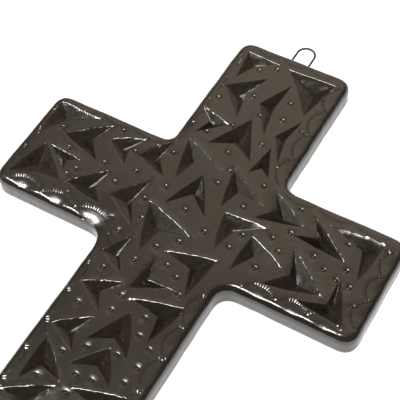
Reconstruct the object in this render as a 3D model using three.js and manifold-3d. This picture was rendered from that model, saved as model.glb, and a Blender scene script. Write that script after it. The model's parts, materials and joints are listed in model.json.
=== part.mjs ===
// A hand-carved black clay wall cross with a wire hanging loop. Millimetres.
// The carving is laid out flat: u to the right, v up and w out of the front face,
// from the middle of the crossing on the flat back. The group then stands it upright
// with the front facing -Y and the inside top of the loop at the origin.

import * as THREE from "three";
import { mergeVertices } from "three/addons/utils/BufferGeometryUtils.js";
import Module from "manifold-3d";

const wasm = await Module();
wasm.setup();

// Driving dimensions of the clay slab
const SHAFT_WIDTH = 66;
const BAR_HEIGHT = 64;
const TOP_ARM = 79;
const SIDE_ARM = 68;
const LOWER_ARM = 147;
const THICKNESS = 12;
const EDGE_ROUND = 4;
const OUTER_CORNER = 9;
const INNER_CORNERS = { upperLeft: 5, upperRight: 8, lowerLeft: 11, lowerRight: 9 };

// Driving dimensions of the carving
const CHIP_DEPTH_PER_LEG = 0.16;
const CHIP_DEEPEST_ON_AXIS = 0.52;
const CHIP_DEEPEST_BEFORE_NOTCH = 0.78;
const SCALLOP_PITCH = 18;
const SCALLOP_SLOPE = 0.13;
const SCALLOP_REACH_DEEP = 8;
const SCALLOP_REACH_SLIGHT = 5.5;
const SCALLOP_CHORD_INSET = 2.5;
const SCALLOP_END_MARGIN = 9;

// Driving dimensions of the wire loop
const WIRE_DIAMETER = 1.25;
const LOOP_WIDTH = 10;
const LOOP_RISE = 13;
const LEG_DEPTH = 8;
const LEG_CLEARANCE = 0.3;

// How far a cutter stands out of the surface that it cuts, and how finely curves are divided
const CUT_MARGIN = 0.15;
const CORNER_STEPS = 8;
const EDGE_STEPS = 5;
const SCALLOP_SIDES = 24;
const WIRE_SIDES = 8;
const WIRE_STEPS = 44;
const ARC_STEPS = 8;

const halfShaft = SHAFT_WIDTH / 2;
const halfBar = BAR_HEIGHT / 2;
const sideEnd = halfShaft + SIDE_ARM;
const topEnd = halfBar + TOP_ARM;
const lowerEnd = -halfBar - LOWER_ARM;

// Chips, one knife-cut arrowhead each: place of the point (u, v), the way it opens in degrees
// from +u, the length of its legs, the angle between them and how far the notch between the
// legs is pulled towards the point, from 0 for a full triangle.
const TOP_CHIPS = [
  [-26.5, 103.5, -43, 20, 79, 0.25],
  [26, 103, 220, 27.5, 76, 0.05],
  [-26, 76.5, -4, 23.5, 84, 0.25],
  [-4, 73.5, 4, 21.5, 119, 0.2],
  [13.5, 58, 2, 18, 120, 0.35],
  [-2, 62.5, 269, 27.5, 54, 0.25],
  [15.5, 50.5, 277, 19.5, 33, 0.25],
  [-11.5, 53.5, 195, 18, 58, 0.4],
];
const CENTRE_CHIPS = [
  [-24.5, 36.5, -50, 27, 52, 0.35],
  [5.5, 30.5, -55, 25, 46, 0.35],
  [-6.5, 19.5, 276, 26, 51, 0.45],
  [14, 4.5, -36, 22.5, 80, 0.3],
  [-22, -7, -43, 30, 52, 0.3],
  [24.5, -21.5, 229, 25, 67, 0.35],
];
const LEFT_CHIPS = [
  [-96, 26, -46, 23.5, 88, 0.2],
  [-83, 8.5, 11, 25.5, 55, 0.3],
  [-60.5, 16.5, -4, 19.5, 63, 0.25],
  [-41.5, 14.5, 18, 20, 74, 0.3],
  [-84, -1, -21, 17, 33, 0.2],
  [-88, -1, 286, 26, 66, 0.1],
  [-65, -16.5, 17, 23, 55, 0.25],
  [-40.5, -13, 11, 22, 84, 0.3],
];
const RIGHT_CHIPS = [
  [52, 15, 172, 25, 45, 0.25],
  [77.5, 6.5, 160, 29, 31, 0.35],
  [91.5, 25, 224, 27.5, 76, 0.4],
  [76, -15.5, 168, 29, 53, 0.3],
  [32.5, -1, -58, 22.5, 68, 0.35],
  [92, -25.5, 146, 26, 57, 0.4],
];
const LOWER_CHIPS = [
  [-26.5, -42.5, 17, 16.5, 86, 0.3],
  [-4.5, -54.5, 54, 21.5, 57, 0.45],
  [-26, -61.5, -4, 19.5, 58, 0.35],
  [25, -51, 226, 25.5, 58, 0.4],
  [-25.5, -86.5, 4, 19, 64, 0.25],
  [4, -64.5, 270, 25, 55, 0.3],
  [5.5, -84.5, 266, 20.5, 70, 0.35],
  [-23.5, -93, -66, 24.5, 47, 0.3],
  [25, -102.5, 227, 25, 59, 0.35],
  [-26, -125, 4, 23, 55, 0.3],
  [8, -119, 268, 21, 55, 0.3],
  [-26, -149, 5, 20, 60, 0.3],
  [25.5, -141, 228, 23, 60, 0.35],
  [-26.5, -172.5, 42, 19, 78, 0.2],
  [-2, -155, 265, 14, 50, 0.3],
  [26, -173, 160, 23, 45, 0.3],
];
const CHIPS = [...TOP_CHIPS, ...CENTRE_CHIPS, ...LEFT_CHIPS, ...RIGHT_CHIPS, ...LOWER_CHIPS];

const clay = new THREE.MeshStandardMaterial({ color: 0x4a443d, roughness: 0.38, metalness: 0 });
const iron = new THREE.MeshStandardMaterial({ color: 0x3b3937, roughness: 0.5, metalness: 0.8 });

// A closed three.js geometry as a solid that can be cut
function solidOf(geometry) {
  const bare = geometry.clone();
  bare.deleteAttribute("normal");
  bare.deleteAttribute("uv");
  const merged = mergeVertices(bare);
  const vertProperties = new Float32Array(merged.attributes.position.array);
  const triVerts = new Uint32Array(merged.index.array);
  return new wasm.Manifold(new wasm.Mesh({ numProp: 3, vertProperties, triVerts }));
}

// A cut solid as a three.js geometry
function geometryOf(solid) {
  const mesh = solid.getMesh();
  const geometry = new THREE.BufferGeometry();
  geometry.setAttribute("position", new THREE.BufferAttribute(mesh.vertProperties, 3));
  geometry.setIndex(new THREE.BufferAttribute(mesh.triVerts, 1));
  geometry.computeVertexNormals();
  return geometry;
}

// The twelve corners of the outline, counter-clockwise from the top right, with their rounding
function outlineCorners() {
  const outer = OUTER_CORNER;
  const inner = INNER_CORNERS;
  return [
    { u: halfShaft, v: topEnd, round: outer },
    { u: -halfShaft, v: topEnd, round: outer },
    { u: -halfShaft, v: halfBar, round: inner.upperLeft },
    { u: -sideEnd, v: halfBar, round: outer },
    { u: -sideEnd, v: -halfBar, round: outer },
    { u: -halfShaft, v: -halfBar, round: inner.lowerLeft },
    { u: -halfShaft, v: lowerEnd, round: outer },
    { u: halfShaft, v: lowerEnd, round: outer },
    { u: halfShaft, v: -halfBar, round: inner.lowerRight },
    { u: sideEnd, v: -halfBar, round: outer },
    { u: sideEnd, v: halfBar, round: outer },
    { u: halfShaft, v: halfBar, round: inner.upperRight },
  ];
}

// The point at a given distance from one corner towards another
function towards(from, to, distance) {
  const length = Math.hypot(to.u - from.u, to.v - from.v);
  const share = distance / length;
  return { u: from.u + (to.u - from.u) * share, v: from.v + (to.v - from.v) * share };
}

function crossOutline() {
  const corners = outlineCorners();
  const shape = new THREE.Shape();
  corners.forEach((corner, i) => {
    const before = corners[(i + corners.length - 1) % corners.length];
    const after = corners[(i + 1) % corners.length];
    const start = towards(corner, before, corner.round);
    const end = towards(corner, after, corner.round);
    if (i === 0) {
      shape.moveTo(start.u, start.v);
    } else {
      shape.lineTo(start.u, start.v);
    }
    shape.quadraticCurveTo(corner.u, corner.v, end.u, end.v);
  });
  shape.closePath();
  return shape;
}

// The slab with its rounded front edge; the same rounding at the back is cut away flat
function slab() {
  const geometry = new THREE.ExtrudeGeometry(crossOutline(), {
    depth: THICKNESS,
    curveSegments: CORNER_STEPS,
    bevelEnabled: true,
    bevelThickness: EDGE_ROUND,
    bevelSize: EDGE_ROUND,
    bevelOffset: -EDGE_ROUND,
    bevelSegments: EDGE_STEPS,
  });
  geometry.translate(0, 0, -EDGE_ROUND);
  const behind = new THREE.BoxGeometry(3 * sideEnd, 3 * (topEnd - lowerEnd), THICKNESS);
  behind.translate(0, 0, -THICKNESS / 2);
  return solidOf(geometry).subtract(solidOf(behind));
}

// One chip as an upside-down pyramid over an arrowhead: point, two leg tips and the notch between
function chipCutter([u, v, turn, leg, spread, notchPull]) {
  const heading = THREE.MathUtils.degToRad(turn);
  const half = THREE.MathUtils.degToRad(spread / 2);
  const along = (reach, angle) => new THREE.Vector3(
    u + reach * Math.cos(angle),
    v + reach * Math.sin(angle),
    THICKNESS,
  );
  const axis = leg * Math.cos(half);
  const notchReach = axis * (1 - notchPull);
  const depth = leg * CHIP_DEPTH_PER_LEG;
  const deepReach = Math.min(axis * CHIP_DEEPEST_ON_AXIS, notchReach * CHIP_DEEPEST_BEFORE_NOTCH);
  const deepest = along(deepReach, heading);
  deepest.z -= depth;
  const rim = [
    along(0, heading),
    along(leg, heading - half),
    along(notchReach, heading),
    along(leg, heading + half),
  ];
  const stretch = (depth + CUT_MARGIN) / depth;
  rim.forEach((point) => point.sub(deepest).multiplyScalar(stretch).add(deepest));
  const geometry = new THREE.BufferGeometry().setFromPoints([...rim, deepest]);
  const [point, rightTip, notch, leftTip, bottom] = [0, 1, 2, 3, 4];
  geometry.setIndex([
    point, rightTip, notch,
    point, notch, leftTip,
    rightTip, point, bottom,
    notch, rightTip, bottom,
    leftTip, notch, bottom,
    point, leftTip, bottom,
  ]);
  return solidOf(geometry);
}

// One scallop of the border: a shallow cone that leaves an arc on the face
function scallopCutter(u, v, radius) {
  const rim = radius + CUT_MARGIN / SCALLOP_SLOPE;
  const bottom = THICKNESS - radius * SCALLOP_SLOPE;
  const top = THICKNESS + CUT_MARGIN;
  const profile = [
    new THREE.Vector2(0, bottom),
    new THREE.Vector2(rim, top),
    new THREE.Vector2(rim, top + EDGE_ROUND),
    new THREE.Vector2(0, top + EDGE_ROUND),
  ];
  const geometry = new THREE.LatheGeometry(profile, SCALLOP_SIDES);
  geometry.rotateX(Math.PI / 2);
  geometry.translate(u, v, 0);
  return solidOf(geometry);
}

// The scallops along one straight edge of the outline, from corner to corner
function edgeScallops(from, to) {
  const length = Math.hypot(to.u - from.u, to.v - from.v);
  const along = { u: (to.u - from.u) / length, v: (to.v - from.v) / length };
  const inward = { u: -along.v, v: along.u };
  const first = isOuter(from) ? SCALLOP_END_MARGIN : 0;
  const last = length - (isOuter(to) ? SCALLOP_END_MARGIN : 0);
  const count = Math.round((last - first) / SCALLOP_PITCH);
  const chord = (last - first) / count;
  const isLowerOrRight = inward.u - inward.v < 0;
  const reach = isLowerOrRight ? SCALLOP_REACH_DEEP : SCALLOP_REACH_SLIGHT;
  const rise = reach - SCALLOP_CHORD_INSET;
  const radius = (chord * chord / 4 + rise * rise) / (2 * rise);
  const cutters = [];
  for (let i = 0; i < count; i += 1) {
    const s = first + (i + 0.5) * chord;
    const inset = reach - radius;
    const u = from.u + along.u * s + inward.u * inset;
    const v = from.v + along.v * s + inward.v * inset;
    cutters.push(scallopCutter(u, v, radius));
  }
  return cutters;
}

function isOuter(corner) {
  return corner.round === OUTER_CORNER;
}

// A blind hole in the top end for one leg of the wire
function legHole(side) {
  const radius = WIRE_DIAMETER / 2 + LEG_CLEARANCE;
  const depth = LEG_DEPTH + LEG_CLEARANCE + CUT_MARGIN;
  const geometry = new THREE.CylinderGeometry(radius, radius, depth, WIRE_SIDES);
  geometry.translate(side * LOOP_WIDTH / 2, topEnd + CUT_MARGIN - depth / 2, THICKNESS / 2);
  return solidOf(geometry);
}

function carvedCross() {
  const corners = outlineCorners();
  const scallops = corners.flatMap((corner, i) => edgeScallops(corner, corners[(i + 1) % corners.length]));
  const cutters = [...scallops, ...CHIPS.map(chipCutter), legHole(-1), legHole(1)];
  const solid = cutters.reduce((body, cutter) => body.subtract(cutter), slab());
  const mesh = new THREE.Mesh(geometryOf(solid), clay);
  mesh.name = "cross";
  return mesh;
}

// The loop: up one leg, over a half circle and down the other leg
function wireLoop() {
  const radius = LOOP_WIDTH / 2;
  const springing = topEnd + LOOP_RISE + WIRE_DIAMETER / 2 - radius;
  const foot = topEnd - LEG_DEPTH;
  const middle = THICKNESS / 2;
  const at = (u, v) => new THREE.Vector3(u, v, middle);
  const points = [at(-radius, foot), at(-radius, (foot + springing) / 2)];
  for (let i = 0; i <= ARC_STEPS; i += 1) {
    const angle = Math.PI * (1 - i / ARC_STEPS);
    points.push(at(radius * Math.cos(angle), springing + radius * Math.sin(angle)));
  }
  points.push(at(radius, (foot + springing) / 2), at(radius, foot));
  const section = new THREE.Shape().absarc(0, 0, WIRE_DIAMETER / 2, 0, 2 * Math.PI);
  const geometry = new THREE.ExtrudeGeometry(section, {
    steps: WIRE_STEPS,
    curveSegments: WIRE_SIDES / 2,
    extrudePath: new THREE.CatmullRomCurve3(points),
  });
  const mesh = new THREE.Mesh(geometry, iron);
  mesh.name = "hanging_wire";
  return mesh;
}

const wallCross = new THREE.Group();
wallCross.add(carvedCross(), wireLoop());
wallCross.rotation.x = Math.PI / 2;
wallCross.position.set(0, THICKNESS / 2, -topEnd - LOOP_RISE);

export default wallCross;
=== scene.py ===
"""Looks of a hand-carved black clay wall cross with a wire hanging loop.

The clay is one fine mesh: a front that is a height over the plan (u to the right, v up, in
millimetres from the middle of the crossing), rounded sides and a plain back, smoothed by hand.
"""

import json
import math

import bmesh
import bpy
import numpy as np
from mathutils import Matrix, Vector, kdtree, noise
from mathutils.geometry import delaunay_2d_cdt


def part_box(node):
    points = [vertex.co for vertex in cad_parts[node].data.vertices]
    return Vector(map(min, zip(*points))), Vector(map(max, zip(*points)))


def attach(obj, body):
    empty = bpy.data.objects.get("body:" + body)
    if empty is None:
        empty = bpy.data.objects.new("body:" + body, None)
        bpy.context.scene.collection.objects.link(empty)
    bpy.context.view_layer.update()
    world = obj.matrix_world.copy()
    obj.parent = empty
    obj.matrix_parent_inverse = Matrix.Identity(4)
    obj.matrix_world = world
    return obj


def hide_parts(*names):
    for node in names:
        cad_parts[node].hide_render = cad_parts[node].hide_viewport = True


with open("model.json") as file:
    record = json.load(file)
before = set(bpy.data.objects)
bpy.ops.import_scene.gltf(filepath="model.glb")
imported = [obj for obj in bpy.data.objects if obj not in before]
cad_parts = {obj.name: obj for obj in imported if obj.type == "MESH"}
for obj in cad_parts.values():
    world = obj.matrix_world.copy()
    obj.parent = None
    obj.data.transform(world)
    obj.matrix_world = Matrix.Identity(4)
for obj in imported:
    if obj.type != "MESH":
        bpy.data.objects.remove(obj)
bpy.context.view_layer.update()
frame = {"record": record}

MM = 0.001

# The slab, as the solid has it
SHAFT_WIDTH = 66.0
BAR_HEIGHT = 64.0
EDGE_ROUND = 4.0
BACK_ROUND = 1.2
OUTER_CORNER = 9.0
INNER_UPPER_LEFT = 5.0
INNER_UPPER_RIGHT = 8.0
INNER_LOWER_LEFT = 11.0
INNER_LOWER_RIGHT = 9.0
LOOP_RISE = 13.0

# The face lies a little under the solid's front, which leaves room for burrs
FACE_ROOM = 0.3
OUTLINE_ROOM = 0.3
FRONT_CLEARANCE = 0.01

# Where the front's mesh ends and the rings of the sides begin
FRONT_RIM_INSET = 0.9
EDGE_RING_INSETS = (1.5, 2.3, 3.2, 4.2)
EDGE_CREASE = 0.35

# The chips
CHIP_DEPTH_PER_LEG = 0.16
SHALLOW_DEPTH_PER_LEG = 0.138
CHIP_DEEPEST_ON_AXIS = 0.52
CHIP_DEEPEST_BEFORE_NOTCH = 0.78
RIM_SOFTNESS = 0.22
CRISP_RIM_SOFTNESS = 0.06
WORN_RIM_SOFTNESS = 0.8
BURR_HEIGHT = 0.36
BURR_OFFSET = 0.35
BURR_WIDTH = 0.45
RIM_BOW = 0.1
CHIP_REACH = 1.2
RIM_LOOPS = (1.15, 1.1, 1.05, 1.0, 0.97, 0.92)
FLOOR_LOOPS = (0.82, 0.7, 0.56, 0.42, 0.26)
FOLD_STOPS = (0.0, 0.25, 0.5, 0.72, 0.9)

# How rough the knife left the cuts: full roughness from this depth down
ROUGH_FROM_DEPTH = 1.2
ROUGH_FINE = 0.12
ROUGH_COARSE = 0.2

# A cut shows raw clay all over from this depth down, and leaves no room for marks beside it
RAW_FROM_DEPTH = 0.5
RAW_DOT_DEPTH = 0.8
MARKS_END_AT_DEPTH = 0.2
MARKS_FADE_FROM_INSET = 1.0
MARKS_FADE_OVER = 3.0

# The scalloped border and its ticks
SCALLOP_PITCH = 18.0
SCALLOP_CURVE = 0.017
SCALLOP_CURVE_LEFT = 0.027
SCALLOP_REACH_DEEP = 8.0
SCALLOP_REACH_SLIGHT = 5.5
SCALLOP_CHORD_INSET = 2.5
SCALLOP_END_MARGIN = 9.0
TICK_PITCH = 1.2
TICK_LENGTH = 2.0
TICK_DEPTH_DEEP = 0.5
TICK_DEPTH_SLIGHT = 0.18
TICK_START = 0.12
TICK_FLOOR_SHARE = 0.13
TICK_WIDTH_SHARE = 0.36
BEVEL_LINES = (-5.5, -4.2, -2.8, -1.4, 0.0)

# The stamped dots, each a small bead in a ring: radii and heights of the stamp's profile
DOT_RADII = (0.0, 0.22, 0.42, 0.62, 0.82, 1.0, 1.25, 1.5)
DOT_HEIGHTS = (0.2, 0.18, 0.12, 0.0, -0.14, -0.22, -0.08, 0.0)
DOT_POINTS = (1, 6, 9, 12, 14, 14, 14, 14)

# The face sags towards the inner corner at the lower left
SAG_PLACE = (-36.0, -33.0)
SAG_RADIUS = 24.0
SAG_DEPTH = 1.6
SAG_FALL = 1.5

# How uneven the hand left the face, the sides, the back and every line
WAVE_SIZE = 17.0
WAVE_HEIGHT = 0.16
WAVE_DROP = 0.12
SIDE_HOLLOW = 0.12
BACK_HOLLOW = 0.14
SLOW_WANDER = 0.24
QUICK_WANDER = 0.1
CREASE_DEGREES = 27

# The wire loop, and how unevenly it is bent
WIRE_DIAMETER = 1.25
LOOP_WIDTH = 10.0
LEG_DEPTH = 8.0
WIRE_THINNING = 0.05
WIRE_LEAN = 0.12

# Camera: where it looks, from which side, and how it is rolled
CAMERA_LENS = 101.6
CAMERA_AIM = (0.05, 5.1)
CAMERA_DISTANCE = 554.3
CAMERA_AZIMUTH = 21.5
CAMERA_ELEVATION = -28.95
CAMERA_ROLL = 34.97

# Where the lamp stands, seen from the crossing: right, up and out of the face
LAMP_DIRECTION = (-0.33, -0.035, 0.94)

# How far the floor lies under the middle of the crossing, in metres
FLOOR_BELOW_CROSSING = 0.55

# Chips, one knife-cut arrowhead each: place of the point (u, v), the way it opens in degrees
# from +u, the length of its legs, the angle between them and how far the notch between the
# legs is pulled towards the point, from 0 for a full triangle. Those of the top arm have crisp
# rims and one of them is shallow. The knife raised burrs on the others, and two have worn rims.
CRISP_CHIPS = [
    (-26.5, 103.5, -43, 20, 79, 0.25),
    (26, 103, 220, 27.5, 76, 0.05),
    (-26, 76.5, -4, 23.5, 84, 0.25),
    (-4, 73.5, 4, 21.5, 119, 0.2),
    (13.5, 58, 2, 18, 120, 0.35),
    (15.5, 50.5, 277, 19.5, 33, 0.25),
]
CENTRE_CHIPS = [
    (-11.5, 53.5, 195, 18, 58, 0.4),
    (-24.5, 36.5, -50, 27, 52, 0.35),
    (5.5, 30.5, -55, 25, 46, 0.35),
    (-6.5, 19.5, 276, 26, 51, 0.45),
    (14, 4.5, -36, 22.5, 80, 0.3),
    (-22, -7, -43, 30, 52, 0.3),
    (24.5, -21.5, 229, 25, 67, 0.35),
]
LEFT_CHIPS = [
    (-96, 26, -46, 23.5, 88, 0.2),
    (-83, 8.5, 11, 25.5, 55, 0.3),
    (-60.5, 16.5, -4, 19.5, 63, 0.25),
    (-41.5, 14.5, 18, 20, 74, 0.3),
    (-84, -1, -21, 17, 33, 0.2),
    (-88, -1, 286, 26, 66, 0.1),
    (-65, -16.5, 17, 23, 55, 0.25),
    (-40.5, -13, 11, 22, 84, 0.3),
]
RIGHT_CHIPS = [
    (52, 15, 172, 25, 45, 0.25),
    (77.5, 6.5, 160, 29, 31, 0.35),
    (76, -15.5, 168, 29, 53, 0.3),
    (32.5, -1, -58, 22.5, 68, 0.35),
    (92, -25.5, 146, 26, 57, 0.4),
]
LOWER_CHIPS = [
    (-26.5, -42.5, 17, 16.5, 86, 0.3),
    (-26, -61.5, -4, 19.5, 58, 0.35),
    (25, -51, 226, 25.5, 58, 0.4),
    (-25.5, -86.5, 4, 19, 64, 0.25),
    (4, -64.5, 270, 25, 55, 0.3),
    (5.5, -84.5, 266, 20.5, 70, 0.35),
    (-23.5, -93, -66, 24.5, 47, 0.3),
    (25, -102.5, 227, 25, 59, 0.35),
    (-26, -125, 4, 23, 55, 0.3),
    (8, -119, 268, 21, 55, 0.3),
    (-26, -149, 5, 20, 60, 0.3),
    (25.5, -141, 228, 23, 60, 0.35),
    (-26.5, -172.5, 42, 19, 78, 0.2),
    (-2, -155, 265, 14, 50, 0.3),
    (26, -173, 160, 23, 45, 0.3),
]
BURRED_CHIPS = CENTRE_CHIPS + LEFT_CHIPS + RIGHT_CHIPS + LOWER_CHIPS
SHALLOW_CHIPS = [
    (-2, 62.5, 269, 27.5, 54, 0.25),
]
WORN_CHIPS = [
    (91.5, 25, 224, 27.5, 76, 0.4),
    (-4.5, -54.5, 54, 21.5, 57, 0.45),
]

# Stamped dots (u, v), scattered by hand in the gaps between the chips
TOP_DOTS = [
    (-6.8, 98.5), (-15, 93.5), (-9, 76), (10.3, 80.5), (12, 68.8), (24.3, 66.5),
    (-25, 67), (0.3, 66), (-9, 53.5), (10, 49.7), (-19, 44), (-2.7, 37),
]
CENTRE_DOTS = [
    (-27, 24), (-36, 24), (2.3, 18), (4, 27.5), (23.3, 27), (20.3, 11),
    (-37.5, 5), (-19.5, 4), (-3.8, -3.5), (28, -3.2), (41.5, 2.2), (11, -10.3),
    (25.7, -12.5), (-25, -7), (-43.5, -5.5), (-19.8, -18), (3, -21), (-5, -28.5),
    (-26, -29), (5, -35.2), (12.3, -39), (-10.3, -39.5),
]
LEFT_DOTS = [
    (-96.5, 18.5), (-57, 24.3), (-86, 11.5), (-44.5, 15.5), (-76, 2), (-54.5, 2),
    (-96.3, -8), (-65, -8), (-67.5, -13), (-33.5, -24), (-60.5, -22.5),
]
RIGHT_DOTS = [
    (46, 23.3), (48, 9), (63.5, 2.5), (75, 16), (71, -2), (80.5, 2.5),
    (78.5, -4), (85.5, -5), (91, -13.5), (93, 21), (47.5, -3.5), (42, -16.5),
]
LOWER_DOTS = [
    (-21, -50.5), (-5, -59.3), (18.3, -46.5), (11, -64.3), (-4.8, -68), (13.3, -73.5),
    (21.3, -77.3), (-21, -72), (10, -86.5), (21.5, -87.8), (-4.5, -89.5), (-13, -96.8),
    (20, -96.8), (6.7, -102.5), (-1, -103.5), (-17.5, -106), (-16.8, -112.3),
    (0, -113), (17, -112), (-1, -125), (21, -121), (19, -133), (-21, -139), (7, -141),
    (-2, -149), (-13, -161), (6, -163),
]
DOTS = TOP_DOTS + CENTRE_DOTS + LEFT_DOTS + RIGHT_DOTS + LOWER_DOTS

# Sizes worked out from the frame
cross_low, cross_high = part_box("cross")
width = (cross_high.x - cross_low.x) / MM
thickness = (cross_high.y - cross_low.y) / MM
half_shaft = SHAFT_WIDTH / 2
half_bar = BAR_HEIGHT / 2
side_end = width / 2
face = thickness - FACE_ROOM


def crossing_level():
    """z of the crossing's middle in millimetres: the back mount sits there."""
    mounts = {m["name"]: m for m in frame["record"]["mounts"]}
    return mounts["wall_back"]["pos_m"][2] / MM


crossing_z = crossing_level()
top_end = cross_high.z / MM - crossing_z
lower_end = cross_low.z / MM - crossing_z


def to_world(u, v, w):
    """A place on the slab, in millimetres, as a point of the frame in metres."""
    return Vector((u * MM, cross_high.y - w * MM, (crossing_z + v) * MM))


# Outline

def outline_corners():
    """The twelve corners, counter-clockwise from the top right, each with its rounding."""
    outer = OUTER_CORNER
    return [
        (half_shaft, top_end, outer),
        (-half_shaft, top_end, outer),
        (-half_shaft, half_bar, INNER_UPPER_LEFT),
        (-side_end, half_bar, outer),
        (-side_end, -half_bar, outer),
        (-half_shaft, -half_bar, INNER_LOWER_LEFT),
        (-half_shaft, lower_end, outer),
        (half_shaft, lower_end, outer),
        (half_shaft, -half_bar, INNER_LOWER_RIGHT),
        (side_end, -half_bar, outer),
        (side_end, half_bar, outer),
        (half_shaft, half_bar, INNER_UPPER_RIGHT),
    ]


def outline_points(spacing=1.0, corner_steps=12):
    """Points round the outline and, at each, the unit vector into the material."""
    corners = [(np.array(c[:2]), c[2]) for c in outline_corners()]
    points = []
    headings = []
    count = len(corners)
    for i, (corner, reach) in enumerate(corners):
        before = corners[i - 1][0]
        after, next_reach = corners[(i + 1) % count]
        into = (corner - before) / np.linalg.norm(corner - before)
        out = (after - corner) / np.linalg.norm(after - corner)
        start = corner - into * reach
        end = corner + out * reach
        for step in range(corner_steps):
            t = step / corner_steps
            points.append((1 - t) ** 2 * start + 2 * t * (1 - t) * corner + t * t * end)
            headings.append((1 - t) * into + t * out)
        run_end = after - out * next_reach
        steps = max(1, round(np.linalg.norm(run_end - end) / spacing))
        for step in range(steps):
            points.append(end + (run_end - end) * step / steps)
            headings.append(out)
    points = np.array(points)
    headings = np.array(headings)
    headings /= np.linalg.norm(headings, axis=1)[:, None]
    inward = np.stack([-headings[:, 1], headings[:, 0]], axis=1)
    return points + inward * OUTLINE_ROOM, inward


OUTLINE, INWARD = outline_points()


def outline_tree():
    tree = kdtree.KDTree(len(OUTLINE))
    for i, (u, v) in enumerate(OUTLINE):
        tree.insert((u, v, 0.0), i)
    tree.balance()
    return tree


OUTLINE_TREE = outline_tree()


def inset_of(points):
    """How far each plan point lies inside the outline."""
    insets = np.empty(len(points))
    for i, (u, v) in enumerate(points):
        _, near, _ = OUTLINE_TREE.find((u, v, 0.0))
        insets[i] = np.dot((u, v) - OUTLINE[near], INWARD[near])
    return insets


def edge_drop(inset):
    """How far the rounded edge lies under the face at a given inset."""
    short = np.clip(EDGE_ROUND - inset, 0, EDGE_ROUND)
    return EDGE_ROUND - np.sqrt(EDGE_ROUND ** 2 - short ** 2)


# Chips

class Chip:
    """One arrowhead cut: point, right tip, notch, left tip, and the deepest place between."""

    def __init__(self, row, softness, burr, rim_bow, depth_per_leg=CHIP_DEPTH_PER_LEG):
        u, v, turn, leg, spread, notch_pull = row
        self.softness = softness
        self.burr = burr
        self.rim_bow = rim_bow
        heading = math.radians(turn)
        half = math.radians(spread / 2)
        at = np.array((u, v), float)

        def along(reach, angle):
            return at + reach * np.array((math.cos(angle), math.sin(angle)))

        axis = leg * math.cos(half)
        notch_reach = axis * (1 - notch_pull)
        deep_reach = min(axis * CHIP_DEEPEST_ON_AXIS, notch_reach * CHIP_DEEPEST_BEFORE_NOTCH)
        self.depth = leg * depth_per_leg
        self.centre = along(deep_reach, heading)
        self.rim = [
            along(0, heading),
            along(leg, heading - half),
            along(notch_reach, heading),
            along(leg, heading + half),
        ]
        self.radius = max(np.linalg.norm(p - self.centre) for p in self.rim)

    def facets(self):
        """The four facets, each between two neighbouring corners of the rim."""
        rays = [p - self.centre for p in self.rim]
        return [(rays[i], rays[(i + 1) % 4]) for i in range(4)]

    def ratio(self, points):
        """0 at the deepest place, 1 on the rim and more outside; and the facet below each point."""
        rays = points - self.centre
        ratios = np.full(len(points), 9.0)
        over = np.zeros(len(points), int)
        for i, (a, b) in enumerate(self.facets()):
            area = a[0] * b[1] - a[1] * b[0]
            along_a = (rays[:, 0] * b[1] - rays[:, 1] * b[0]) / area
            along_b = (a[0] * rays[:, 1] - a[1] * rays[:, 0]) / area
            inside = (along_a >= -1e-9) & (along_b >= -1e-9)
            total = np.maximum(along_a + along_b, 1e-9)[inside]
            ratios[inside] = total / self.bow(i, along_b[inside] / total)
            over[inside] = i
        return ratios, over

    def bow(self, side, share):
        """How far a place along one side of the rim bulges: the two outer sides are bowed."""
        is_outer = side in (0, 3)
        return 1 + self.rim_bow * is_outer * 4 * share * (1 - share)

    def runs(self):
        """How far each facet runs from the rim to the deepest place."""
        runs = []
        for a, b in self.facets():
            area = abs(a[0] * b[1] - a[1] * b[0])
            runs.append(area / np.linalg.norm(a - b))
        return np.array(runs)

    def lips(self):
        """How much burr the knife left at each facet's rim: most at the upper side of a cut."""
        middles = [a + b for a, b in self.facets()]
        return np.array([self.burr * np.clip(m[1] / np.linalg.norm(m), 0, 1) for m in middles])

    def loop(self, scale, spacing=1.4):
        """The rim scaled about the deepest place, as closely spaced points."""
        points = []
        for i, (a, b) in enumerate(self.facets()):
            steps = max(2, round(np.linalg.norm(b - a) * scale / spacing))
            for s in range(steps):
                share = s / steps
                points.append(self.centre + (a + (b - a) * share) * scale * self.bow(i, share))
        return points

    def folds(self):
        """Lines from the deepest place to the rim's corners, where the facets meet."""
        return [[self.centre + (p - self.centre) * s for s in FOLD_STOPS] for p in self.rim]


CUTS = [Chip(row, CRISP_RIM_SOFTNESS, 0.0, 0.0) for row in CRISP_CHIPS]
CUTS += [Chip(row, CRISP_RIM_SOFTNESS, 0.0, 0.0, SHALLOW_DEPTH_PER_LEG) for row in SHALLOW_CHIPS]
CUTS += [Chip(row, RIM_SOFTNESS, BURR_HEIGHT, RIM_BOW) for row in BURRED_CHIPS]
CUTS += [Chip(row, WORN_RIM_SOFTNESS, BURR_HEIGHT, RIM_BOW) for row in WORN_CHIPS]


# Scalloped border

class Scallop:
    """One arc of the border: its circle on the face, and the way into the material."""

    def __init__(self, centre, radius, inward, chord, tick_depth):
        self.centre = centre
        self.curve = SCALLOP_CURVE_LEFT if centre[0] < -half_shaft else SCALLOP_CURVE
        self.tick_depth = tick_depth
        self.radius = radius
        self.heading = math.atan2(inward[1], inward[0])
        self.half_angle = math.asin(min(1.0, chord / 2 / radius))

    def arc(self, outside, spacing):
        """Points of the arc at a distance outside its circle."""
        reach = self.radius + outside
        steps = max(4, round(2 * self.half_angle * reach / spacing))
        angles = [self.heading + self.half_angle * (2 * i / steps - 1) for i in range(steps + 1)]
        return [self.centre + reach * np.array((math.cos(a), math.sin(a))) for a in angles]


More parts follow.
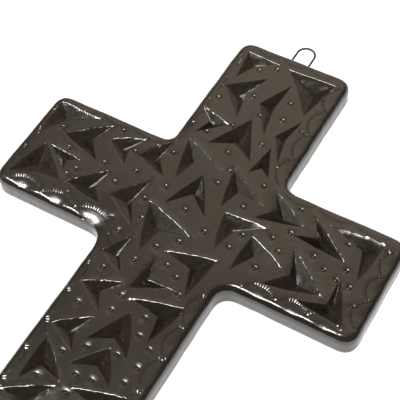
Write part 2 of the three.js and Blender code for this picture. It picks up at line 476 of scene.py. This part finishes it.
def border_scallops():
    corners = outline_corners()
    scallops = []
    for i, (u, v, reach_here) in enumerate(corners):
        next_u, next_v, reach_next = corners[(i + 1) % len(corners)]
        start = np.array((u, v))
        run = np.array((next_u, next_v)) - start
        length = np.linalg.norm(run)
        along = run / length
        inward = np.array((-along[1], along[0]))
        first = SCALLOP_END_MARGIN if reach_here == OUTER_CORNER else 0
        last = length - (SCALLOP_END_MARGIN if reach_next == OUTER_CORNER else 0)
        count = round((last - first) / SCALLOP_PITCH)
        chord = (last - first) / count
        is_lower_or_right = inward[0] - inward[1] < 0
        reach = SCALLOP_REACH_DEEP if is_lower_or_right else SCALLOP_REACH_SLIGHT
        tick_depth = TICK_DEPTH_DEEP if is_lower_or_right else TICK_DEPTH_SLIGHT
        rise = reach - SCALLOP_CHORD_INSET
        radius = (chord ** 2 / 4 + rise ** 2) / (2 * rise)
        for k in range(count):
            centre = start + along * (first + (k + 0.5) * chord) + inward * (reach - radius)
            scallops.append(Scallop(centre, radius, inward, chord, tick_depth))
    return scallops


SCALLOPS = border_scallops()


# Front surface as a height over the plan

def wobble(points, size, seed):
    """Smooth noise between -1 and 1 at plan points, with features of a given size."""
    return np.array([noise.noise((u / size, v / size, seed)) for u, v in points])


def burr_beads(points):
    """How much of its full height a burr has from place to place: it broke up into beads."""
    fine = 0.9 * wobble(points, 1.7, seed=3.0)
    coarse = 0.5 * wobble(points, 7.0, seed=4.0)
    return np.clip(0.6 + fine + coarse, 0, 1)


def chip_depths(points):
    """How far the chips go under the face, with soft rims, and the burrs raised beside them."""
    depths = np.zeros(len(points))
    burrs = np.zeros(len(points))
    for chip in CUTS:
        near = np.linalg.norm(points - chip.centre, axis=1) < chip.radius * CHIP_REACH
        if not near.any():
            continue
        ratio, over = chip.ratio(points[near])
        straight = chip.depth * np.clip(1 - ratio, 0, 1)
        soft = np.sqrt(straight ** 2 + chip.softness ** 2) - chip.softness
        depths[near] = np.maximum(depths[near], soft)
        outside = (ratio - 1) * chip.runs()[over]
        crest = np.exp(-((outside - BURR_OFFSET) / BURR_WIDTH) ** 2) * chip.lips()[over]
        burrs[near] = np.maximum(burrs[near], crest)
    rough = wobble(points, 1.5, seed=7.0) * ROUGH_FINE + wobble(points, 4.0, seed=8.0) * ROUGH_COARSE
    depths += np.clip(depths / ROUGH_FROM_DEPTH, 0, 1) * rough
    return depths, burrs * burr_beads(points)


def scallop_depths(points):
    """The shallow bevels inside the arcs and the ticks along them."""
    bevels = np.zeros(len(points))
    ticks = np.zeros(len(points))
    for scallop in SCALLOPS:
        rays = points - scallop.centre
        reach = np.linalg.norm(rays, axis=1)
        near = reach < scallop.radius + TICK_LENGTH + 0.5
        if not near.any():
            continue
        outside = reach[near] - scallop.radius
        bevels[near] = np.maximum(bevels[near], scallop.curve * np.clip(-outside, 0, None) ** 2)
        turn = np.arctan2(rays[near][:, 1], rays[near][:, 0]) - scallop.heading
        turn = (turn + math.pi) % (2 * math.pi) - math.pi
        count = turn * scallop.radius / TICK_PITCH
        off_centre = np.abs(count - np.round(count))
        flank = TICK_WIDTH_SHARE - TICK_FLOOR_SHARE
        across = np.clip((TICK_WIDTH_SHARE - off_centre) / flank, 0, 1)
        along = np.where(outside > TICK_START / 2, np.clip(1 - outside / TICK_LENGTH, 0, 1), 0)
        along *= np.clip((scallop.half_angle - np.abs(turn)) * scallop.radius / TICK_PITCH, 0, 1)
        ticks[near] = np.maximum(ticks[near], across * along * scallop.tick_depth)
    return bevels, ticks


def dot_heights(points):
    heights = np.zeros(len(points))
    for place in DOTS:
        reach = np.linalg.norm(points - place, axis=1)
        near = reach < DOT_RADII[-1]
        heights[near] = np.interp(reach[near], DOT_RADII, DOT_HEIGHTS)
    return heights


def soft_min(one, two, width):
    """The lower of two heights, with the crease between them rounded over a given width."""
    share = np.clip(0.5 + 0.5 * (two - one) / width, 0, 1)
    return one * share + two * (1 - share) - width * share * (1 - share)


def sag_depths(points):
    """How far the face sags at the lower left inner corner."""
    reach = np.linalg.norm(points - np.array(SAG_PLACE), axis=1)
    return SAG_DEPTH * np.clip(1 - reach / SAG_RADIUS, 0, 1) ** SAG_FALL


def front(points):
    """Height of the front over the back, and how deep in a cut each point lies from 0 to 1."""
    inset = inset_of(points)
    chips, burrs = chip_depths(points)
    bevels, ticks = scallop_depths(points)
    dots = dot_heights(points)
    waves = WAVE_HEIGHT * wobble(points, WAVE_SIZE, seed=1.0) - WAVE_DROP
    middle = face - bevels - sag_depths(points) + waves
    base = soft_min(face - edge_drop(inset), middle, EDGE_CREASE)
    untouched = np.clip(1 - chips / MARKS_END_AT_DEPTH, 0, 1)
    untouched *= np.clip((inset - MARKS_FADE_FROM_INSET) / MARKS_FADE_OVER, 0, 1)
    height = base - chips + (burrs + dots - ticks) * untouched
    cut = np.clip(chips / RAW_FROM_DEPTH, 0, 1)
    cut = np.maximum(cut, np.clip(-dots / RAW_DOT_DEPTH, 0, 1) * untouched)
    return np.minimum(height, thickness - FRONT_CLEARANCE), cut


# Plan of the front: every line that the relief needs, then fill between

class Plan:
    """Points and lines to triangulate."""

    def __init__(self):
        self.points = []
        self.lines = []

    def path(self, points, closed=False):
        first = len(self.points)
        self.points += [tuple(p) for p in points]
        last = len(self.points) - 1
        self.lines += [(i, i + 1) for i in range(first, last)]
        if closed:
            self.lines.append((last, first))

    def keep_inside(self, inset):
        """Leaves out points beyond the given inset, and the lines that need them."""
        points = np.array(self.points)
        kept = inset_of(points) > inset
        place = np.cumsum(kept) - 1
        self.points = [tuple(p) for p in points[kept]]
        self.lines = [(int(place[a]), int(place[b])) for a, b in self.lines if kept[a] and kept[b]]


def add_chips(plan):
    for chip in CUTS:
        for scale in RIM_LOOPS:
            plan.path(chip.loop(scale), closed=True)
        for fold in chip.folds():
            plan.path(fold)
        for scale in FLOOR_LOOPS:
            plan.path(chip.loop(scale, spacing=1.3), closed=True)


def add_scallops(plan):
    tick_lines = (-TICK_WIDTH_SHARE, -TICK_FLOOR_SHARE, TICK_FLOOR_SHARE, TICK_WIDTH_SHARE)
    for scallop in SCALLOPS:
        for outside in BEVEL_LINES:
            plan.path(scallop.arc(outside, 1.0))
        half_ticks = int(scallop.half_angle * scallop.radius / TICK_PITCH)
        for k in range(-half_ticks, half_ticks + 1):
            for share in tick_lines:
                angle = scallop.heading + (k + share) * TICK_PITCH / scallop.radius
                ray = np.array((math.cos(angle), math.sin(angle)))
                stops = (TICK_START, TICK_LENGTH)
                plan.path([scallop.centre + ray * (scallop.radius + s) for s in stops])


def add_dots(plan):
    for place in DOTS:
        for radius, count in zip(DOT_RADII, DOT_POINTS):
            turns = [2 * math.pi * i / count for i in range(count)]
            ring = [place + radius * np.array((math.cos(t), math.sin(t))) for t in turns]
            plan.path(ring, closed=count > 2)


def add_edge_rings(plan):
    for inset in EDGE_RING_INSETS:
        plan.path(OUTLINE + INWARD * inset, closed=True)


def add_fill(plan, spacing=2.2):
    """Even points between the lines, none close to a point that is already there."""
    tree = kdtree.KDTree(len(plan.points))
    for i, (u, v) in enumerate(plan.points):
        tree.insert((u, v, 0.0), i)
    tree.balance()
    triangle_height = 0.866
    row_height = spacing * triangle_height
    rows = int((top_end - lower_end) / row_height)
    columns = int(2 * side_end / spacing)
    for r in range(rows):
        v = lower_end + r * row_height
        for c in range(columns):
            u = -side_end + (c + 0.5 * (r % 2)) * spacing
            if abs(u) > half_shaft and abs(v) > half_bar:
                continue
            if tree.find((u, v, 0.0))[2] > spacing * 0.5:
                plan.points.append((u, v))


def triangulated_front():
    plan = Plan()
    add_chips(plan)
    add_scallops(plan)
    add_dots(plan)
    add_edge_rings(plan)
    add_fill(plan)
    plan.keep_inside(FRONT_RIM_INSET + 0.3)
    rim = [tuple(p) for p in OUTLINE + INWARD * FRONT_RIM_INSET]
    first = len(plan.points)
    corners = plan.points + rim
    rim_face = list(range(first, len(corners)))
    inside = 1
    points, _, triangles, *_ = delaunay_2d_cdt(
        [Vector(p) for p in corners], plan.lines, [rim_face], inside, 1e-4
    )
    return np.array([(p.x, p.y) for p in points]), triangles


# Sides and back

def side_profile():
    """Inset and height of the rings from the front's rim down to the back."""
    rings = []
    for step in range(1, 4):
        inset = FRONT_RIM_INSET * (1 - step / 3)
        rings.append((inset, face - float(edge_drop(np.array(inset)))))
    low = BACK_ROUND
    high = rings[-1][1]
    for step in range(1, 4):
        share = step / 3
        rings.append((SIDE_HOLLOW * math.sin(math.pi * share), high + (low - high) * share))
    for step in range(1, 4):
        turn = step / 3 * math.pi / 2
        rings.append((BACK_ROUND * (1 - math.cos(turn)), BACK_ROUND * (1 - math.sin(turn))))
    return rings


def triangulated_back(inset):
    loop = [tuple(p) for p in OUTLINE + INWARD * inset]
    spacing = 3.5
    fill = []
    for v in np.arange(lower_end, top_end, spacing):
        for u in np.arange(-side_end, side_end, spacing):
            if abs(u) < half_shaft or abs(v) < half_bar:
                fill.append((u, v))
    fill = np.array(fill)
    fill = fill[inset_of(fill) > inset + 1.5]
    corners = loop + [tuple(p) for p in fill]
    inside = 1
    points, _, triangles, *_ = delaunay_2d_cdt(
        [Vector(p) for p in corners], [], [list(range(len(loop)))], inside, 1e-4
    )
    return np.array([(p.x, p.y) for p in points]), triangles


def back_hollow(points):
    """How far the back lies off the wall: smoothed by hand, in long strokes along the shaft."""
    strokes = wobble(points * (1.0, 0.35), 9.0, seed=5.0) + wobble(points, 22.0, seed=6.0)
    away_from_edge = np.clip(inset_of(points) / 6 - 0.2, 0, 1)
    return BACK_HOLLOW * (2 + strokes) * away_from_edge


def hand_shift(points):
    """Sideways wander of a hand-made outline and of hand-cut lines, slow and quick together."""
    slow = np.stack([wobble(points, 13.0, seed=s) for s in (21.0, 42.0)], axis=1)
    quick = np.stack([wobble(points, 2.4, seed=s) for s in (63.0, 84.0)], axis=1)
    return points + SLOW_WANDER * slow + QUICK_WANDER * quick


def side_rings():
    """Rings of points from the front's rim down to the back."""
    rim = OUTLINE + INWARD * FRONT_RIM_INSET
    rim_height, _ = front(rim)
    rings = [np.column_stack([hand_shift(rim), rim_height])]
    for inset, w in side_profile():
        ring = hand_shift(OUTLINE + INWARD * inset)
        rings.append(np.column_stack([ring, np.full(len(ring), w)]))
    return rings


def ring_faces(first, ring_size, ring_count):
    """Faces between neighbouring rings, whose points are numbered from the first on."""
    faces = []
    for upper in range(first, first + (ring_count - 1) * ring_size, ring_size):
        lower = upper + ring_size
        for i in range(ring_size):
            j = (i + 1) % ring_size
            faces.append((upper + j, upper + i, lower + i, lower + j))
    return faces


def clay_mesh():
    """Vertices in millimetres, faces and the depth of cut at each vertex."""
    plan, front_faces = triangulated_front()
    height, cut = front(plan)
    rings = side_rings()
    ring_size = len(OUTLINE)
    back_plan, back_faces = triangulated_back(side_profile()[-1][0])
    first_back = len(plan) + len(rings) * ring_size
    faces = [tuple(f) for f in front_faces]
    faces += ring_faces(len(plan), ring_size, len(rings))
    faces += [tuple(first_back + i for i in reversed(f)) for f in back_faces]
    back = np.column_stack([hand_shift(back_plan), back_hollow(back_plan)])
    vertices = np.concatenate([np.column_stack([hand_shift(plan), height]), *rings, back])
    cuts = np.zeros(len(vertices))
    cuts[:len(plan)] = cut
    return vertices, faces, cuts


def clay_piece(material):
    points, faces, cut = clay_mesh()
    mesh = bpy.data.meshes.new("carved_cross")
    mesh.from_pydata([to_world(*p) for p in points], [], faces)
    mark = mesh.attributes.new("cut", "FLOAT", "POINT")
    mark.data.foreach_set("value", cut)
    shape = bmesh.new()
    shape.from_mesh(mesh)
    same_place = 2e-6
    bmesh.ops.remove_doubles(shape, verts=shape.verts, dist=same_place)
    bmesh.ops.recalc_face_normals(shape, faces=shape.faces)
    for edge in shape.edges:
        if len(edge.link_faces) == 2:
            edge.smooth = edge.calc_face_angle() < math.radians(CREASE_DEGREES)
    for f in shape.faces:
        f.smooth = True
    shape.to_mesh(mesh)
    shape.free()
    mesh.materials.append(material)
    piece = bpy.data.objects.new("carved_cross", mesh)
    bpy.context.scene.collection.objects.link(piece)
    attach(piece, "root")
    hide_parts("cross")
    return piece


# Wire

def wire_route():
    """Up one leg, over the bow and down the other leg."""
    radius = LOOP_WIDTH / 2
    springing = top_end + LOOP_RISE + WIRE_DIAMETER / 2 - radius
    foot = top_end - LEG_DEPTH
    leg_steps = 8
    bow_steps = 24
    rise = (springing - foot) / leg_steps
    route = [(-radius, foot + rise * i) for i in range(leg_steps)]
    for i in range(bow_steps + 1):
        angle = math.pi * (1 - i / bow_steps)
        route.append((radius * math.cos(angle), springing + radius * math.sin(angle)))
    route += [(radius, springing - rise * i) for i in range(1, leg_steps + 1)]
    return route


def wire_rings(sides):
    """Rings of points round the wire, with small bends left by the fingers that shaped it."""
    route = np.array(wire_route())
    rings = []
    for i, place in enumerate(route):
        before = route[max(i - 1, 0)]
        after = route[min(i + 1, len(route) - 1)]
        run = (after - before) / np.linalg.norm(after - before)
        across = np.array((run[1], -run[0]))
        fullness = 1 - WIRE_THINNING + WIRE_THINNING * noise.noise((i * 0.7, 0.0, 4.0))
        radius = WIRE_DIAMETER / 2 * fullness
        lean = max(WIRE_LEAN * noise.noise((i * 0.21, 9.0, 0.0)), 0.0)
        ring = []
        for k in range(sides):
            turn = 2 * math.pi * k / sides
            u, v = place - across * (radius * math.cos(turn) - lean)
            ring.append(to_world(u, v, thickness / 2 + radius * math.sin(turn)))
        rings.append(ring)
    return rings


def wire_piece(material):
    sides = 12
    shape = bmesh.new()
    rings = [[shape.verts.new(p) for p in ring] for ring in wire_rings(sides)]
    for one, two in zip(rings, rings[1:]):
        for k in range(sides):
            n = (k + 1) % sides
            shape.faces.new((one[k], one[n], two[n], two[k]))
    shape.faces.new(rings[0])
    shape.faces.new(reversed(rings[-1]))
    bmesh.ops.recalc_face_normals(shape, faces=shape.faces)
    for f in shape.faces:
        f.smooth = len(f.verts) == 4
    mesh = bpy.data.meshes.new("wire_loop")
    shape.to_mesh(mesh)
    shape.free()
    mesh.materials.append(material)
    piece = bpy.data.objects.new("wire_loop", mesh)
    bpy.context.scene.collection.objects.link(piece)
    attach(piece, "root")
    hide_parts("hanging_wire")
    return piece


# Materials

def new_material(name):
    material = bpy.data.materials.new(name)
    material.use_nodes = True
    nodes = material.node_tree.nodes
    return material, nodes, material.node_tree.links, nodes["Principled BSDF"]


def noise_node(nodes, links, coordinates, scale, detail=4.0, stretch=(1, 1, 1)):
    mapping = nodes.new("ShaderNodeMapping")
    mapping.inputs["Scale"].default_value = stretch
    links.new(coordinates, mapping.inputs["Vector"])
    texture = nodes.new("ShaderNodeTexNoise")
    texture.inputs["Scale"].default_value = scale
    texture.inputs["Detail"].default_value = detail
    links.new(mapping.outputs["Vector"], texture.inputs["Vector"])
    return texture.outputs["Fac"]


def remap(nodes, links, value, low, high, from_low=0.3, from_high=0.7):
    node = nodes.new("ShaderNodeMapRange")
    node.inputs["From Min"].default_value = from_low
    node.inputs["From Max"].default_value = from_high
    node.inputs["To Min"].default_value = low
    node.inputs["To Max"].default_value = high
    links.new(value, node.inputs["Value"])
    return node.outputs["Result"]


def mix_colour(nodes, links, share, one, two):
    node = nodes.new("ShaderNodeMix")
    node.data_type = "RGBA"
    links.new(share, node.inputs["Factor"])
    for socket, colour in ((node.inputs["A"], one), (node.inputs["B"], two)):
        if isinstance(colour, tuple):
            socket.default_value = (*colour, 1.0)
        else:
            links.new(colour, socket)
    return node.outputs["Result"]


def mix_value(nodes, links, share, one, two):
    node = nodes.new("ShaderNodeMix")
    node.data_type = "FLOAT"
    links.new(share, node.inputs["Factor"])
    for socket, value in ((node.inputs["A"], one), (node.inputs["B"], two)):
        if isinstance(value, float):
            socket.default_value = value
        else:
            links.new(value, socket)
    return node.outputs["Result"]


def clay_material():
    """Smoke-blackened clay: burnished to a soft shine on the face, dull and browner in the cuts."""
    material, nodes, links, shader = new_material("burnished_black_clay")
    place = nodes.new("ShaderNodeTexCoord").outputs["Object"]
    cut = nodes.new("ShaderNodeAttribute")
    cut.attribute_name = "cut"
    smoke = remap(nodes, links, noise_node(nodes, links, place, 22.0, 3.0), 0.0, 1.0)
    skin = mix_colour(nodes, links, smoke, (0.012, 0.0102, 0.0088), (0.02, 0.0172, 0.0145))
    grain = remap(nodes, links, noise_node(nodes, links, place, 500.0, 4.0), 0.0, 1.0)
    raw = mix_colour(nodes, links, grain, (0.007, 0.005, 0.0035), (0.026, 0.0187, 0.013))
    links.new(mix_colour(nodes, links, cut.outputs["Fac"], skin, raw), shader.inputs["Base Color"])
    streaks = noise_node(nodes, links, place, 160.0, 5.0, (1.0, 1.0, 0.18))
    polish = remap(nodes, links, streaks, 0.11, 0.17)
    links.new(mix_value(nodes, links, cut.outputs["Fac"], polish, 0.2), shader.inputs["Roughness"])
    shader.inputs["IOR"].default_value = 1.8
    bump = nodes.new("ShaderNodeBump")
    bump.inputs["Strength"].default_value = 1.0
    bump.inputs["Distance"].default_value = 0.0003
    burnish = remap(nodes, links, noise_node(nodes, links, place, 420.0, 4.0), 0.0, 0.08)
    knife = noise_node(nodes, links, place, 700.0, 5.0, (1.0, 1.0, 0.5))
    carving = remap(nodes, links, knife, 0.0, 0.15)
    relief = mix_value(nodes, links, cut.outputs["Fac"], burnish, carving)
    links.new(relief, bump.inputs["Height"])
    links.new(bump.outputs["Normal"], shader.inputs["Normal"])
    return material


def wire_material():
    """Dark annealed iron wire, dull, with a finely bumped surface."""
    material, nodes, links, shader = new_material("dark_iron_wire")
    place = nodes.new("ShaderNodeTexCoord").outputs["Object"]
    patches = remap(nodes, links, noise_node(nodes, links, place, 600.0, 4.0), 0.0, 1.0)
    colour = mix_colour(nodes, links, patches, (0.02, 0.019, 0.018), (0.05, 0.047, 0.044))
    links.new(colour, shader.inputs["Base Color"])
    links.new(remap(nodes, links, patches, 0.35, 0.6, 0.0, 1.0), shader.inputs["Roughness"])
    shader.inputs["Metallic"].default_value = 0.3
    bump = nodes.new("ShaderNodeBump")
    bump.inputs["Strength"].default_value = 0.3
    bump.inputs["Distance"].default_value = 0.00005
    links.new(noise_node(nodes, links, place, 3000.0, 3.0), bump.inputs["Height"])
    links.new(bump.outputs["Normal"], shader.inputs["Normal"])
    return material


# Stage

def stage_object(name, corners, faces, material):
    mesh = bpy.data.meshes.new(name)
    mesh.from_pydata(corners, [], faces)
    mesh.materials.append(material)
    thing = bpy.data.objects.new(name, mesh)
    bpy.context.scene.collection.objects.link(thing)
    return thing


def pale_material(name, shade, emission, one_sided=False):
    material, nodes, links, shader = new_material(name)
    shader.inputs["Base Color"].default_value = (shade, shade, shade, 1.0)
    shader.inputs["Roughness"].default_value = 0.9
    shader.inputs["Emission Color"].default_value = (1.0, 1.0, 1.0, 1.0)
    shader.inputs["Emission Strength"].default_value = emission
    if one_sided:
        clear = nodes.new("ShaderNodeBsdfTransparent")
        mix = nodes.new("ShaderNodeMixShader")
        links.new(nodes.new("ShaderNodeNewGeometry").outputs["Backfacing"], mix.inputs["Fac"])
        links.new(shader.outputs["BSDF"], mix.inputs[1])
        links.new(clear.outputs["BSDF"], mix.inputs[2])
        links.new(mix.outputs["Shader"], nodes["Material Output"].inputs["Surface"])
    return material


def pale_wall():
    """A round wall behind the cross, clear from behind and open where the cross covers it."""
    wall_radius = 2000.0
    gap = 0.6
    hidden_margin = 2.0
    opening = OUTLINE + INWARD * hidden_margin
    outer = opening / np.linalg.norm(opening, axis=1)[:, None] * wall_radius
    corners = [to_world(u, v, -gap) for u, v in np.concatenate([opening, outer])]
    count = len(opening)
    faces = []
    for i in range(count):
        j = (i + 1) % count
        faces.append((j, i, count + i, count + j))
    material = pale_material("pale_wall", 0.4, 1.0, one_sided=True)
    stage_object("pale_wall", corners, faces, material)


def pale_floor():
    """A wide floor below the cross that doesn't show in the burnished clay."""
    half = 3.2
    level = crossing_z * MM - FLOOR_BELOW_CROSSING
    signs = ((-1, -1), (1, -1), (1, 1), (-1, 1))
    corners = [(half * x, half * y, level) for x, y in signs]
    floor = stage_object("pale_floor", corners, [(0, 1, 2, 3)], pale_material("pale_floor", 0.86, 0.0))
    floor.visible_glossy = False


def pale_backdrop():
    """A round pale screen that only the camera sees, so that it casts and reflects nothing."""
    radius = 2.6
    height = 3.0
    sides = 48
    under_floor = 0.01
    level = crossing_z * MM - FLOOR_BELOW_CROSSING - under_floor
    corners = []
    faces = []
    for k in range(sides):
        turn = 2 * math.pi * k / sides
        n = (k + 1) % sides
        for z in (level, level + height):
            corners.append((radius * math.cos(turn), radius * math.sin(turn), z))
        faces.append((2 * k, 2 * n, 2 * n + 1, 2 * k + 1))
    material = pale_material("pale_backdrop", 0.4, 0.8)
    screen = stage_object("pale_backdrop", corners, faces, material)
    screen.visible_glossy = False
    screen.visible_diffuse = False
    screen.visible_transmission = False
    screen.visible_shadow = False


# Light and camera

def softbox(name, direction, distance, size, radiance, colour=(1.0, 0.98, 0.95)):
    """A soft area light in a direction (right, up, out of the face) from the crossing."""
    light = bpy.data.lights.new(name, "AREA")
    light.shape = "RECTANGLE"
    light.size, light.size_y = size
    light.energy = radiance * math.pi * size[0] * size[1]
    light.color = colour
    lamp = bpy.data.objects.new(name, light)
    right, up, out = Vector(direction).normalized() * distance
    aim = to_world(0, 0, thickness)
    lamp.location = aim + Vector((right, -out, up))
    lamp.rotation_euler = (aim - lamp.location).to_track_quat("-Z", "Y").to_euler()
    lamp.visible_camera = False
    bpy.context.scene.collection.objects.link(lamp)


def glow(nodes, links, direction, colour, strengths, cosines):
    """A soft glow round a direction (right, up, out of the face), fading towards its edge."""
    right, up, out = Vector(direction).normalized()
    towards = nodes.new("ShaderNodeVectorMath")
    towards.operation = "DOT_PRODUCT"
    towards.inputs[1].default_value = (right, -out, up)
    links.new(nodes.new("ShaderNodeTexCoord").outputs["Generated"], towards.inputs[0])
    background = nodes.new("ShaderNodeBackground")
    background.inputs["Color"].default_value = (*colour, 1.0)
    strength = remap(nodes, links, towards.outputs["Value"], *strengths, *cosines)
    links.new(strength, background.inputs["Strength"])
    return background.outputs["Background"]


def set_world():
    """Dim surroundings with a warm glow above, pale ones at the lamp and the left, and one behind."""
    world = bpy.data.worlds.new("studio")
    world.use_nodes = True
    nodes = world.node_tree.nodes
    links = world.node_tree.links
    warm = (1.0, 0.83, 0.62)
    neutral = (1.0, 0.97, 0.93)
    above = (-0.2, 0.72, 0.66)
    left = (-0.72, -0.32, 0.62)
    behind = (0.35, 0.55, -0.76)
    light = glow(nodes, links, above, warm, (0.1, 0.32), (0.7, 0.86))
    for more in (
        glow(nodes, links, above, warm, (0.0, 0.57), (0.9, 0.99)),
        glow(nodes, links, LAMP_DIRECTION, neutral, (0.0, 4.0), (0.957, 0.995)),
        glow(nodes, links, left, neutral, (0.0, 0.62), (0.95, 0.995)),
        glow(nodes, links, behind, neutral, (0.0, 1.0), (0.3, 1.0)),
    ):
        both = nodes.new("ShaderNodeAddShader")
        links.new(light, both.inputs[0])
        links.new(more, both.inputs[1])
        light = both.outputs["Shader"]
    links.new(light, nodes["World Output"].inputs["Surface"])
    bpy.context.scene.world = world


def set_light():
    set_world()
    softbox("overhead", LAMP_DIRECTION, 3.0, (1.2, 0.5), 29.0)
    bpy.context.scene.view_settings.view_transform = "Standard"


def set_camera():
    camera = bpy.data.objects.new("camera", bpy.data.cameras.new("camera"))
    camera.data.sensor_width = 36.0
    camera.data.lens = CAMERA_LENS
    camera.data.clip_start = 0.01
    azimuth = math.radians(CAMERA_AZIMUTH)
    elevation = math.radians(CAMERA_ELEVATION)
    level = CAMERA_DISTANCE * MM * math.cos(elevation)
    offset = Vector((
        level * math.sin(azimuth),
        -level * math.cos(azimuth),
        CAMERA_DISTANCE * MM * math.sin(elevation),
    ))
    aim = to_world(*CAMERA_AIM, thickness)
    look = (-offset).to_track_quat("-Z", "Y").to_matrix().to_4x4()
    roll = Matrix.Rotation(math.radians(CAMERA_ROLL), 4, "Z")
    camera.matrix_world = Matrix.Translation(aim + offset) @ look @ roll
    bpy.context.scene.collection.objects.link(camera)
    bpy.context.scene.camera = camera


set_camera()
clay_piece(clay_material())
wire_piece(wire_material())
pale_wall()
pale_floor()
pale_backdrop()
set_light()
